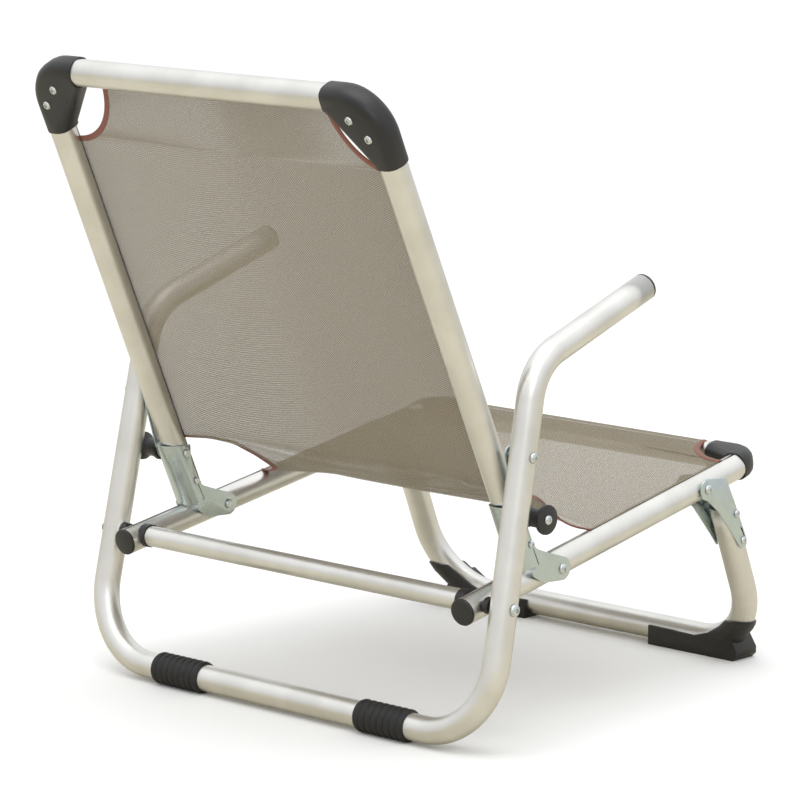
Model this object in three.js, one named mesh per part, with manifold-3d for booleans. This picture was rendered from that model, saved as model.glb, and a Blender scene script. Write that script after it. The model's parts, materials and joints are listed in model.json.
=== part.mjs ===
// Folding camp chair: bent aluminium tubes, zinc-plated hinge brackets, black plastic fittings and
// a mesh sling. Millimetres, +Z up. The sitter faces -Y. The origin is on the floor, under the
// middle of the chair's box.
import * as THREE from 'three';
import { mergeVertices } from 'three/addons/utils/BufferGeometryUtils.js';
import Module from 'manifold-3d';

const wasm = await Module();
wasm.setup();

// Driving dimensions
const pivotY = 173;              // the rear leg pivot's place behind the origin
const tubeRadius = 14;           // every main tube is 28 mm
const tubeWall = 1.5;
const crossbarRadius = 11;
const fitGap = 0.4;              // clearance round a tube or shank in its hole
const faceGap = 0.3;             // gap between two pieces that lie face to face
const plateThickness = 1.6;
const spigotRadius = 7.2;        // fills a bore below the sling's slot
const shankRadius = 3;
const floorBarZ = 17;            // the floor bars' height, on sleeves and shoes

// Side-view points, [forward of the rear leg pivot, height above the floor]
const legPivot = [0, 148.5];
const hingePivot = [115, 166.4];
const frontPivot = [361, 209.2];
const spoolAxis = [52, 231];
const linkAxis = [32, 296];
const bracketRivet = [66.5, 199];
const topBar = [-138.5, 656.6];
const armEnd = [231, 443];
const frontFloorBar = [473, floorBarZ];

// The rear legs lean forward along the line through their two pivots
const legSlope = (linkAxis[0] - legPivot[0]) / (linkAxis[1] - legPivot[1]);
const legPoint = (z) => [legPivot[0] + legSlope * (z - legPivot[1]), z];
const rearFloorBar = legPoint(floorBarZ);
const armBend = legPoint(385);

// Distances from the middle plane to the tube axes
const railRearX = 241;
const railPivotX = 229;          // at the front leg pivot
const stileFootX = 237.2;
const stileTopX = 230;
const legFloorX = 280;
const legTaper = 0.026;          // the legs lean in by this much of their height
const armEndX = 266;
const frontLegX = 229;
const bracketX = 237.5;
const halfChannel = 15.8;        // half the opening of a folded bracket

const railSlope = 0.1748;        // the seat rails rise to the front
const railZeroZ = 146.1;         // height of the rail axis above the rear leg pivot's place
const railRear = -19.3;
const railFront = 429.6;          // end of the rail in its corner piece
const seatFrontBar = 452;
const stileSlope = -0.449;       // forward travel of the stile axis for each mm up
const stileFootZ = 183;

// Materials
const finish = (color, roughness, metalness) =>
  new THREE.MeshStandardMaterial({ color, roughness, metalness });
const aluminium = finish('#c9c8c3', 0.35, 1);
const zinc = finish('#b5c8c6', 0.3, 1);
const steel = finish('#c4ccd0', 0.25, 1);
const blackPlastic = finish('#343432', 0.55, 0);
const rubber = finish('#2c2c2a', 0.8, 0);
const mesh = finish('#a59a82', 0.9, 0);

const group = new THREE.Group();

// Places
const point = (x, [forward, z]) => new THREE.Vector3(x, pivotY - forward, z);
const railZ = (forward) => railZeroZ + railSlope * forward;
const railX = (forward) => {
  const share = (forward - railRear) / (frontPivot[0] - railRear);
  return railRearX + (railPivotX - railRearX) * share;
};
const stileForward = (z) => topBar[0] + stileSlope * (z - topBar[1]);
const stileX = (z) => stileFootX + (stileTopX - stileFootX) * (z - stileFootZ) / (topBar[1] - stileFootZ);
const legX = (z) => legFloorX - legTaper * (z - floorBarZ);
const sides = [['right', -1], ['left', 1]];

function add(name, geometry, material) {
  const piece = new THREE.Mesh(geometry, material);
  piece.name = name;
  group.add(piece);
}

// Solids
function toSolid(geometry) {
  const plain = geometry.clone();
  plain.deleteAttribute('normal');
  plain.deleteAttribute('uv');
  const merged = mergeVertices(plain, 1e-4);
  return new wasm.Manifold(new wasm.Mesh({
    numProp: 3,
    vertProperties: new Float32Array(merged.attributes.position.array),
    triVerts: new Uint32Array(merged.index.array),
  }));
}

function toGeometry(solid) {
  const { vertProperties, triVerts } = solid.getMesh();
  const geometry = new THREE.BufferGeometry();
  geometry.setAttribute('position', new THREE.BufferAttribute(new Float32Array(vertProperties), 3));
  geometry.setIndex(new THREE.BufferAttribute(new Uint32Array(triVerts), 1));
  geometry.computeVertexNormals();
  return geometry;
}

const cut = (geometry, ...tools) =>
  toGeometry(tools.reduce((solid, tool) => solid.subtract(toSolid(tool)), toSolid(geometry)));

const keep = (geometry, region) => toGeometry(toSolid(geometry).intersect(toSolid(region)));
const join = (...geometries) => toGeometry(geometries.map(toSolid).reduce((whole, next) => whole.add(next)));

// A lathe profile of [radius, distance] pairs, turned about an axis that runs along X
function turned(profile, sideSign, forwardUp, segments = 12) {
  const points = profile.map(([radius, along]) => new THREE.Vector2(radius, along));
  const geometry = new THREE.LatheGeometry(points, segments);
  geometry.rotateZ(-sideSign * Math.PI / 2);
  const place = point(0, forwardUp);
  return geometry.translate(place.x, place.y, place.z);
}

// A plain round bar along X from one distance to another, on one side of the chair
const barX = (radius, from, to, sideSign, forwardUp, segments = 8) =>
  turned([[0, from], [radius, from], [radius, to], [0, to]], sideSign, forwardUp, segments);

// A ring along X, such as a spacer or a washer
const ringX = (inner, outer, from, to, sideSign, forwardUp, segments = 12) =>
  turned([[inner, from], [outer, from], [outer, to], [inner, to], [inner, from]], sideSign, forwardUp, segments);

// A pan-head bolt along X: a shank, a domed head at the outer end and a flat one at the inner end
function bolt(sideSign, forwardUp, inner, outer, headRadius, shank = shankRadius) {
  const dome = headRadius * 0.5;
  return turned([
    [0, inner - dome * 0.8], [headRadius * 0.8, inner - dome * 0.8], [headRadius * 0.9, inner],
    [shank, inner], [shank, outer], [headRadius, outer], [headRadius * 0.7, outer + dome * 0.8],
    [0, outer + dome],
  ], sideSign, forwardUp, 8);
}

// A section pushed straight from one point to another; `up` is the section's own upward direction
function straight(shape, from, to, up) {
  const along = new THREE.Vector3().subVectors(to, from);
  const length = along.length();
  along.normalize();
  const across = new THREE.Vector3().crossVectors(up, along).normalize();
  const trueUp = new THREE.Vector3().crossVectors(along, across);
  const geometry = new THREE.ExtrudeGeometry(shape, { depth: length, bevelEnabled: false, curveSegments: 7 });
  geometry.applyMatrix4(new THREE.Matrix4().makeBasis(across, trueUp, along).setPosition(from));
  return geometry;
}

function tubeShape(radius, wall) {
  const shape = new THREE.Shape().absarc(0, 0, radius, 0, 2 * Math.PI);
  if (wall) shape.holes.push(new THREE.Path().absarc(0, 0, radius - wall, 0, 2 * Math.PI, true));
  return shape;
}

// The rail and stile section: a round tube with a slot on top for the sling's edge cord.
// The bore is cut flat under the slot.
function grooveShape() {
  const halfSlot = 1.3;
  const slotDepth = 4.6;
  const lip = Math.asin(halfSlot / tubeRadius);
  const top = Math.PI / 2;
  const shape = new THREE.Shape();
  shape.absarc(0, 0, tubeRadius, top + lip, top - lip + 2 * Math.PI);
  shape.lineTo(halfSlot, tubeRadius - slotDepth);
  shape.lineTo(-halfSlot, tubeRadius - slotDepth);
  const boreFlat = 0.9;
  shape.holes.push(new THREE.Path().absarc(0, 0, tubeRadius - tubeWall, top - boreFlat, top + boreFlat, true));
  return shape;
}

// The centre line of a bent tube: straight runs joined by round bends. The tube's rings stand only
// at the ends of the runs and along the bends, so the straight parts stay plain.
class BentLine extends THREE.Curve {
  constructor(corners, radii, ringsPerBend = 5) {
    super();
    this.places = [corners[0]];
    this.tangents = [new THREE.Vector3().subVectors(corners[1], corners[0]).normalize()];
    radii.forEach((radius, i) => this.addBend(corners[i], corners[i + 1], corners[i + 2], radius, ringsPerBend));
    this.places.push(corners.at(-1));
    this.tangents.push(this.tangents.at(-1));
  }

  addBend(before, corner, after, radius, rings) {
    const inward = new THREE.Vector3().subVectors(corner, before).normalize();
    const outward = new THREE.Vector3().subVectors(after, corner).normalize();
    const turn = inward.angleTo(outward);
    const axis = new THREE.Vector3().crossVectors(inward, outward).normalize();
    const enter = corner.clone().addScaledVector(inward, -radius * Math.tan(turn / 2));
    const centre = enter.clone().addScaledVector(new THREE.Vector3().crossVectors(axis, inward), radius);
    for (let i = 0; i <= rings; i += 1) {
      const angle = turn * i / rings;
      this.places.push(enter.clone().sub(centre).applyAxisAngle(axis, angle).add(centre));
      this.tangents.push(inward.clone().applyAxisAngle(axis, angle));
    }
  }

  getPointAt(share) {
    return this.places[Math.round(share * this.steps)].clone();
  }

  getTangentAt(share) {
    return this.tangents[Math.round(share * this.steps)].clone();
  }

  get steps() {
    return this.places.length - 1;
  }
}

const bentTube = (line, radius, wall) => new THREE.ExtrudeGeometry(
  tubeShape(radius, wall), { steps: line.steps, extrudePath: line, curveSegments: 7 },
);

// A side-view outline of [forward, height] pairs, made a plate between two distances from the middle
function sidePlate(outline, from, to, sideSign) {
  const shape = outline instanceof THREE.Shape ? outline
    : new THREE.Shape(outline.map(([forward, z]) => new THREE.Vector2(forward, z)));
  const geometry = new THREE.ExtrudeGeometry(shape, { depth: to - from, bevelEnabled: false, curveSegments: 5 });
  const middle = (from + to) / 2;
  const start = sideSign * middle + (to - from) / 2;
  const basis = new THREE.Matrix4().makeBasis(
    new THREE.Vector3(0, -1, 0), new THREE.Vector3(0, 0, 1), new THREE.Vector3(-1, 0, 0),
  );
  return geometry.applyMatrix4(basis.setPosition(start, pivotY, 0));
}

// Seat frame
function seatFrame() {
  const upZ = new THREE.Vector3(0, 0, 1);
  for (const [side, sign] of sides) {
    const rear = point(sign * railX(railRear), [railRear, railZ(railRear)]);
    const front = point(sign * railX(railFront), [railFront, railZ(railFront)]);
    const holes = [legPivot, hingePivot, frontPivot].map((pivot) => {
      const middle = railX(pivot[0]);
      return barX(shankRadius + 1, middle - 20, middle + 20, sign, pivot);
    });
    add(`seat_rail_${side}`, cut(straight(grooveShape(), rear, front, upZ), ...holes), aluminium);
    railPlug(side, sign, rear, front);
    seatCorner(side, sign, rear, front);
    crossbarEnd(side, sign);
  }
  add('seat_front_tube', straight(
    tubeShape(tubeRadius, tubeWall), point(-cornerTubeEnd(), seatBarPoint()),
    point(cornerTubeEnd(), seatBarPoint()), upZ,
  ), aluminium);
  const barEnd = railX(0) - tubeRadius - 5;
  add('rear_crossbar', straight(
    tubeShape(crossbarRadius, tubeWall), point(-barEnd, legPivot), point(barEnd, legPivot), upZ,
  ), aluminium);
}

const seatBarPoint = () => [seatFrontBar, railZ(seatFrontBar)];
const seatCornerArm = 46;
const cornerTubeEnd = () => railX(seatFrontBar) - seatCornerArm - faceGap;

// The plug's cap covers the tube's end and its spigot fills the bore below the slot
function railPlug(side, sign, rear, front) {
  const inward = new THREE.Vector3().subVectors(front, rear).normalize();
  const capThickness = 3;
  const cap = new THREE.LatheGeometry([
    [0, -capThickness], [tubeRadius - 1.2, -capThickness], [tubeRadius, -capThickness + 1],
    [tubeRadius, -faceGap], [spigotRadius, -faceGap], [spigotRadius, 12], [0, 12],
  ].map(([radius, along]) => new THREE.Vector2(radius, along)), 12);
  const turn = new THREE.Quaternion().setFromUnitVectors(new THREE.Vector3(0, 1, 0), inward);
  cap.applyMatrix4(new THREE.Matrix4().compose(rear, turn, new THREE.Vector3(1, 1, 1)));
  add(`rail_plug_${side}`, cap, blackPlastic);
}

// A moulded elbow laid in a plane: `corner` is where the two tube axes meet, `alongA` and `alongB`
// point down each tube. Its rounded body is flush with the tubes, and a spigot fills each bore.
function elbow(corner, alongA, alongB, armA, armB, outerRadius) {
  const halfWidth = tubeRadius + 0.8;
  const round = 11;
  const half = halfWidth - round;
  const reachA = armA + 15;
  const reachB = armB + 15;
  const shape = new THREE.Shape();
  shape.moveTo(reachA, -half);
  shape.lineTo(outerRadius, -half);
  shape.absarc(outerRadius, outerRadius, outerRadius + half, -Math.PI / 2, -Math.PI, true);
  shape.lineTo(-half, reachB);
  shape.lineTo(half, reachB);
  shape.lineTo(half, armB - 6);
  shape.lineTo(armA - 6, half);
  shape.lineTo(reachA, half);
  shape.closePath();
  const depth = 2 * half;
  const body = new THREE.ExtrudeGeometry(shape, {
    depth, curveSegments: 6, bevelEnabled: true, bevelThickness: round, bevelSize: round, bevelSegments: 4,
  }).translate(0, 0, -depth / 2);
  const block = 90;
  const past = (x, y) => new THREE.BoxGeometry(block, block, block).translate(x, y, 0);
  const geometry = cut(body, past(armA + block / 2, 0), past(0, armB + block / 2));
  const normal = new THREE.Vector3().crossVectors(alongA, alongB).normalize();
  const squareB = new THREE.Vector3().crossVectors(normal, alongA);
  geometry.applyMatrix4(new THREE.Matrix4().makeBasis(alongA, squareB, normal).setPosition(corner));
  const spigot = (along, arm) => straight(
    tubeShape(spigotRadius), corner.clone().addScaledVector(along, arm - 12),
    corner.clone().addScaledVector(along, arm + 14), normal,
  );
  return join(geometry, spigot(alongA, armA), spigot(alongB, armB));
}

function seatCorner(side, sign, rear, front) {
  const corner = point(sign * railX(seatFrontBar), seatBarPoint());
  const alongBar = new THREE.Vector3(-sign, 0, 0);
  const alongRail = new THREE.Vector3().subVectors(rear, front).normalize();
  const railEnd = corner.distanceTo(front);
  const mouthGap = 0.9;          // the rail leans a little from square
  const geometry = elbow(corner, alongBar, alongRail, seatCornerArm, railEnd - mouthGap, 20);
  add(`seat_corner_${side}`, geometry, blackPlastic);
}

// Between the rail and the crossbar's end sits a saddle; between the rail and the leg, a spacer
function crossbarEnd(side, sign) {
  const railMiddle = railX(legPivot[0]);
  const saddleEnd = railMiddle - tubeRadius - 4.6;
  const saddle = ringX(shankRadius + 1, crossbarRadius + 1.5, saddleEnd, railMiddle - 9, sign, legPivot);
  const rail = straight(
    tubeShape(tubeRadius + fitGap), point(sign * railX(-60), [-60, railZ(-60)]),
    point(sign * railX(60), [60, railZ(60)]), new THREE.Vector3(0, 0, 1),
  );
  add(`crossbar_saddle_${side}`, cut(saddle, rail), blackPlastic);
  const legInside = legX(legPivot[1]) - tubeRadius;
  const spacer = ringX(shankRadius + 1, 9, railMiddle + tubeRadius + 0.8, legInside - 0.8, sign, legPivot);
  add(`leg_spacer_${side}`, spacer, blackPlastic);
  const legOutside = legX(legPivot[1]) + tubeRadius + 0.5;
  add(`leg_pivot_bolt_${side}`, bolt(sign, legPivot, railMiddle - tubeRadius - 8, legOutside, 6.5), steel);
}

// Backrest
const stilePoint = (z) => [stileForward(z), z];
const stileDown = (sign) => new THREE.Vector3().subVectors(
  point(sign * stileX(stileFootZ), stilePoint(stileFootZ)), point(sign * stileX(topBar[1]), topBar),
).normalize();

const topCornerArm = 56;
const sideCornerArm = 68;

function backrest() {
  const inboardFront = (sign) => new THREE.Vector3(-sign, -Math.cos(0.42), -Math.sin(0.42));
  const topTubeEnd = stileTopX - topCornerArm - faceGap;
  for (const [side, sign] of sides) {
    const corner = point(sign * stileX(topBar[1]), topBar);
    const top = corner.clone().addScaledVector(stileDown(sign), sideCornerArm + faceGap);
    const foot = point(sign * stileX(stileFootZ), stilePoint(stileFootZ));
    const holes = [spoolAxis, bracketRivet].map((axis) => barX(shankRadius + fitGap, 210, 262, sign, axis));
    add(`back_stile_${side}`, cut(straight(grooveShape(), foot, top, inboardFront(sign)), ...holes), aluminium);
    const geometry = elbow(
      corner, new THREE.Vector3(-sign, 0, 0), stileDown(sign), topCornerArm, sideCornerArm, 36,
    );
    add(`back_corner_${side}`, geometry, blackPlastic);
    cornerScrews(side, sign, corner);
    hingeBracket(side, sign);
    spool(side, sign);
  }
  add('back_top_tube', straight(
    tubeShape(tubeRadius, tubeWall), point(-topTubeEnd, topBar), point(topTubeEnd, topBar), new THREE.Vector3(0, 0, 1),
  ), aluminium);
}

// Two pan-head screws on the rear face of each top corner, one into each tube
function cornerScrews(side, sign, corner) {
  const down = stileDown(sign);
  const inward = new THREE.Vector3(-sign, 0, 0);
  const rearward = new THREE.Vector3().crossVectors(inward, down).multiplyScalar(-sign).normalize();
  const turn = new THREE.Quaternion().setFromUnitVectors(new THREE.Vector3(0, 1, 0), rearward);
  const spots = [['upper', 24, 15], ['lower', 6, 34]];
  for (const [name, across, below] of spots) {
    const head = new THREE.LatheGeometry([[0, 0], [4.6, 0], [4.3, 1.4], [2.8, 2.4], [0, 2.8]]
      .map(([radius, along]) => new THREE.Vector2(radius, along)), 10);
    const place = corner.clone().addScaledVector(inward, across).addScaledVector(down, below)
      .addScaledVector(rearward, tubeRadius + 0.8 + faceGap);
    head.applyMatrix4(new THREE.Matrix4().compose(place, turn, new THREE.Vector3(1, 1, 1)));
    add(`corner_screw_${name}_${side}`, head, steel);
  }
}

// A pressed steel bracket: two cheeks that straddle the stile's foot and the rail, joined by a
// half-round back that wraps the stile. `wrapped` is the part that follows the tube: half of a thin
// ring along the tube's axis, on the side that `facing` points to.
function wrapped(from, to, facing) {
  const outer = halfChannel + plateThickness;
  const half = new THREE.Shape();
  half.absarc(0, 0, outer, 0, Math.PI);
  half.absarc(0, 0, halfChannel, Math.PI, 0, true);
  half.closePath();
  return straight(half, from, to, facing);
}

// A level slab that trims a bracket between two heights
const levelSlab = (x, fromZ, toZ) =>
  new THREE.BoxGeometry(80, 400, toZ - fromZ).translate(x, pivotY - 200, (fromZ + toZ) / 2);

function drill(geometry, axes, sign) {
  return cut(geometry, ...axes.map((axis) => barX(shankRadius + fitGap, 205, 268, sign, axis)));
}

function bothCheeks(outline, centre, sign) {
  const outside = sidePlate(outline, centre + halfChannel, centre + halfChannel + plateThickness, sign);
  const inside = sidePlate(outline, centre - halfChannel - plateThickness, centre - halfChannel, sign);
  return [outside, inside];
}

function hingeBracket(side, sign) {
  const topZ = 240;
  const footZ = 171.5;
  const noseRadius = 12;
  const [noseForward, noseZ] = hingePivot;
  const cheek = new THREE.Shape();
  cheek.moveTo(stileForward(topZ) - 1, topZ);
  cheek.lineTo(stileForward(topZ) + 9, topZ);
  cheek.quadraticCurveTo(58, 195, 86, 189);
  cheek.lineTo(noseForward + 5, noseZ + 11);
  cheek.absarc(noseForward, noseZ, noseRadius, 1.1, -1.5, true);
  cheek.lineTo(85, 156.5);
  cheek.lineTo(71, 165);
  cheek.lineTo(stileForward(footZ) - 11, footZ);
  cheek.lineTo(stileForward(footZ) - 1, footZ + 6);
  cheek.closePath();
  const axisPoint = (z) => point(sign * bracketX, stilePoint(z));
  const back = wrapped(axisPoint(140), axisPoint(280), new THREE.Vector3(0, 1, 0));
  const wrap = keep(back, levelSlab(sign * bracketX, footZ, topZ));
  const channel = join(wrap, ...bothCheeks(cheek, bracketX, sign));
  add(`hinge_bracket_${side}`, drill(channel, [spoolAxis, bracketRivet, hingePivot], sign), zinc);
  const insideFace = bracketX - halfChannel - plateThickness - faceGap;
  const outsideFace = bracketX + halfChannel + plateThickness + faceGap;
  add(`hinge_bolt_${side}`, bolt(sign, hingePivot, insideFace, outsideFace, 5.5), steel);
  add(`bracket_rivet_${side}`, bolt(sign, bracketRivet, insideFace, outsideFace, 4), steel);
}

// Outboard of the bracket the link comes first, then a black spool, on one screw
const linkInside = 255.3;
const linkThickness = 1.7;
const spoolInside = linkInside + linkThickness + faceGap;
const spoolOutside = 289;

function spool(side, sign) {
  const flange = 15.3;
  const waist = 9.5;
  const rim = 4;
  const profile = [
    [shankRadius + fitGap, spoolInside], [flange - 4, spoolInside], [flange - 3.5, spoolInside + rim],
    [waist, spoolInside + rim + 4], [waist, spoolOutside - rim - 2], [flange - 0.8, spoolOutside - rim],
    [flange, spoolOutside - 1.2], [flange - 1.2, spoolOutside], [shankRadius + fitGap, spoolOutside],
    [shankRadius + fitGap, spoolInside],
  ];
  add(`spool_${side}`, turned(profile, sign, spoolAxis, 16), blackPlastic);
  const insideFace = bracketX - halfChannel - plateThickness - faceGap;
  add(`spool_screw_${side}`, bolt(sign, spoolAxis, insideFace, spoolOutside + faceGap, 5), steel);
}

// Rear legs and armrests
function rearLegs() {
  const half = (sign) => [
    point(sign * armEndX, armEnd), point(sign * legX(armBend[1]), armBend),
    point(sign * legX(floorBarZ), rearFloorBar),
  ];
  const right = half(-1);
  const left = half(1).reverse();
  const line = new BentLine([...right, ...left], [60, 80, 80, 60]);
  const holes = sides.flatMap(([, sign]) => [legPivot, linkAxis].map((axis) =>
    barX(shankRadius + fitGap, legX(axis[1]) - 20, legX(axis[1]) + 20, sign, axis)));
  add('rear_leg_tube', cut(bentTube(line, tubeRadius, tubeWall), ...holes), aluminium);
  for (const [side, sign] of sides) {
    armPlug(side, sign);
    floorSleeve(side, sign);
    const legMiddle = legX(linkAxis[1]);
    add(`link_bolt_${side}`, bolt(sign, linkAxis, linkInside - faceGap, legMiddle + tubeRadius + 0.5, 5.5), steel);
  }
}

function armPlug(side, sign) {
  const end = point(sign * armEndX, armEnd);
  const bend = point(sign * legX(armBend[1]), armBend);
  const outward = new THREE.Vector3().subVectors(end, bend).normalize();
  const turn = new THREE.Quaternion().setFromUnitVectors(new THREE.Vector3(0, 1, 0), outward);
  const bore = tubeRadius - tubeWall - fitGap;
  const plug = new THREE.LatheGeometry([[0, -14], [bore, -14], [bore, faceGap], [tubeRadius, faceGap],
    [tubeRadius, 1.6], [tubeRadius - 2, 3], [0, 3.4]].map(([radius, along]) => new THREE.Vector2(radius, along)), 12);
  plug.applyMatrix4(new THREE.Matrix4().compose(end, turn, new THREE.Vector3(1, 1, 1)));
  add(`arm_plug_${side}`, plug, blackPlastic);
}

// A ribbed rubber sleeve on the floor bar, next to each bend; its ribs touch the floor
function floorSleeve(side, sign) {
  const innerEnd = 112;
  const outerEnd = 180;
  const ribs = 8;
  const pitch = (outerEnd - innerEnd) / ribs;
  const rib = rearFloorBar[1];
  const root = rib - 1.3;
  const bore = tubeRadius + 0.7;
  const profile = [[bore, innerEnd]];
  for (let i = 0; i < ribs; i += 1) {
    const from = innerEnd + i * pitch;
    profile.push([root, from], [rib, from + pitch * 0.25], [rib, from + pitch * 0.75]);
  }
  profile.push([root, outerEnd], [bore, outerEnd], [bore, innerEnd]);
  add(`floor_sleeve_${side}`, turned(profile, sign, rearFloorBar, 14), rubber);
}

// Links
// A flat strap from the leg's upper bolt down to the spool's screw. Its lower end is an open hook:
// the outline is drawn along the strap and across it, from the upper bolt.
function links() {
  const reach = Math.hypot(spoolAxis[0] - linkAxis[0], spoolAxis[1] - linkAxis[1]);
  const radius = 9;
  const throat = 3.8;
  const angle = Math.atan2(spoolAxis[1] - linkAxis[1], spoolAxis[0] - linkAxis[0]);
  const strap = new THREE.Shape();
  strap.absarc(0, 0, radius, Math.PI / 2, 1.5 * Math.PI);
  strap.absarc(reach, 0, radius, -Math.PI / 2, 1.2);
  strap.lineTo(reach + throat, 0);
  strap.lineTo(reach + 1, -throat);
  strap.lineTo(reach - 10, -throat - 0.8);
  strap.lineTo(reach - 21, -throat);
  strap.lineTo(reach - 33, radius);
  strap.closePath();
  const turn = new THREE.Matrix4().makeRotationZ(angle).setPosition(linkAxis[0], linkAxis[1], 0);
  const outline = strap.getPoints(6).map((spot) => {
    const place = new THREE.Vector3(spot.x, spot.y, 0).applyMatrix4(turn);
    return [place.x, place.y];
  });
  for (const [side, sign] of sides) {
    const plate = sidePlate(outline, linkInside, linkInside + linkThickness, sign);
    const bore = barX(shankRadius + fitGap, linkInside - 2, linkInside + 5, sign, linkAxis);
    add(`link_${side}`, cut(plate, bore), zinc);
  }
}

// Front legs
const frontLegSlope = -0.398;    // forward travel of the leg's axis for each mm up
const frontLegTopZ = 184;
const frontLegPoint = (z) => [frontFloorBar[0] + frontLegSlope * (z - frontFloorBar[1]), z];
const frontLegLine = () => {
  const right = [frontLegPoint(frontLegTopZ), frontFloorBar].map((place) => point(-frontLegX, place));
  const left = [frontFloorBar, frontLegPoint(frontLegTopZ)].map((place) => point(frontLegX, place));
  return new BentLine([...right, ...left], [78, 78]);
};
const frontRivets = [['upper', 176], ['lower', 145.5]];

function frontLegs() {
  const holes = sides.flatMap(([, sign]) => frontRivets.map(([, z]) =>
    barX(shankRadius, frontLegX - 20, frontLegX + 20, sign, frontLegPoint(z))));
  add('front_leg_tube', cut(bentTube(frontLegLine(), tubeRadius, tubeWall), ...holes), aluminium);
  for (const [side, sign] of sides) {
    frontPlates(side, sign);
    footShoe(side, sign);
    legTopPlug(side, sign);
  }
}

// Two flat plates straddle the rail and the front leg; the leg is riveted between them
function frontPlates(side, sign) {
  const outline = [
    [361, 196.5], [352, 200], [348.5, 208], [350.5, 216], [357, 221], [391, 217.5], [408, 185.5],
    [427, 148], [428, 140], [419, 136], [406.5, 151], [378.6, 182.7],
  ];
  const axes = [frontPivot, ...frontRivets.map(([, z]) => frontLegPoint(z))];
  for (const [face, offset] of [['outer', halfChannel], ['inner', -halfChannel - plateThickness]]) {
    const from = frontLegX + offset;
    const plate = sidePlate(outline, from, from + plateThickness, sign);
    add(`front_plate_${face}_${side}`, drill(plate, axes, sign), zinc);
  }
  const insideFace = frontLegX - halfChannel - plateThickness - faceGap;
  const outsideFace = frontLegX + halfChannel + plateThickness + faceGap;
  add(`front_pivot_bolt_${side}`, bolt(sign, frontPivot, insideFace, outsideFace, 5.5), steel);
  for (const [name, z] of frontRivets) {
    add(`front_rivet_${name}_${side}`, bolt(sign, frontLegPoint(z), insideFace, outsideFace, 4.2, 2.4), steel);
  }
}

function legTopPlug(side, sign) {
  const end = point(sign * frontLegX, frontLegPoint(frontLegTopZ));
  const upward = new THREE.Vector3(0, -frontLegSlope, 1).normalize();
  const turn = new THREE.Quaternion().setFromUnitVectors(new THREE.Vector3(0, 1, 0), upward);
  const bore = tubeRadius - tubeWall - fitGap;
  const plug = new THREE.LatheGeometry([[0, -3], [bore, -3], [bore, faceGap], [tubeRadius, faceGap],
    [tubeRadius, 2], [0, 3]].map(([radius, along]) => new THREE.Vector2(radius, along)), 12);
  plug.applyMatrix4(new THREE.Matrix4().compose(end, turn, new THREE.Vector3(1, 1, 1)));
  add(`leg_top_plug_${side}`, plug, blackPlastic);
}

// A moulded shoe: a cradle that follows the bend from floor bar to leg, on a flat sole with a wedge
// that reaches out past the bend. Both are drawn in front view, [distance from the middle, height].
function footShoe(side, sign) {
  const innerEnd = 90;
  const slab = (outline, rear, front) => {
    const geometry = new THREE.ExtrudeGeometry(
      new THREE.Shape(outline.map(([x, z]) => new THREE.Vector2(x, z))), { depth: front - rear, bevelEnabled: false },
    );
    const basis = new THREE.Matrix4().makeBasis(
      new THREE.Vector3(sign, 0, 0), new THREE.Vector3(0, 0, 1), new THREE.Vector3(0, -sign, 0),
    );
    return geometry.applyMatrix4(basis.setPosition(0, pivotY - (sign > 0 ? rear : front), 0));
  };
  const rim = [
    [innerEnd, -1], [innerEnd, 21], [130, 20.5], [152, 20], [172, 26], [190, 37], [202, 46], [250, 46], [250, -1],
  ];
  const barForward = frontFloorBar[0];
  const cradle = keep(bentTube(frontLegLine(), floorBarZ, 0), slab(rim, barForward - 30, barForward + 30));
  const sole = slab([
    [innerEnd, 0], [208, 0], [213, 5], [213, 12], [196, 38], [177, 27], [151, 18], [126, 21], [innerEnd, 21.5],
  ], barForward - 17.5, barForward + 17.5);
  const tube = bentTube(frontLegLine(), tubeRadius + fitGap, 0);
  add(`foot_shoe_${side}`, cut(join(cradle, sole), tube), blackPlastic);
}

// Sling
// Flat panels with a lumbar curve between them. The back panel lies just in front of the stiles'
// axes and the seat panel just above the rails.
const slingThickness = 1.4;
const lumbarTopZ = 250;
const lumbarFront = 235;
const backOffset = 11;
const seatOffset = tubeRadius + 0.5;

const railDirection = new THREE.Vector2(1, railSlope).normalize();
const stileDirection = new THREE.Vector2(stileSlope, 1).normalize();
const seatSurface = (forward, above) => [
  forward - above * railDirection.y, railZ(forward) + above * railDirection.x,
];
const backSurface = (z, ahead) => [
  stileForward(z) + ahead * stileDirection.y, z - ahead * stileDirection.x,
];

// A panel between two side-view places, each with its own half-width; cut corners at its far end
function panel(from, to, widthFrom, widthTo, cutCorner, thickness, normal) {
  const start = point(0, from);
  const end = point(0, to);
  const length = start.distanceTo(end);
  const shape = new THREE.Shape();
  shape.moveTo(-widthFrom, 0);
  shape.lineTo(widthFrom, 0);
  shape.lineTo(widthTo, length - cutCorner);
  shape.lineTo(widthTo - cutCorner, length);
  shape.lineTo(-widthTo + cutCorner, length);
  shape.lineTo(-widthTo, length - cutCorner);
  shape.closePath();
  const geometry = new THREE.ExtrudeGeometry(shape, { depth: thickness, bevelEnabled: false });
  const along = new THREE.Vector3().subVectors(end, start).normalize();
  const across = new THREE.Vector3().crossVectors(along, normal).normalize();
  return geometry.applyMatrix4(new THREE.Matrix4().makeBasis(across, along, normal).setPosition(start));
}

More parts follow.
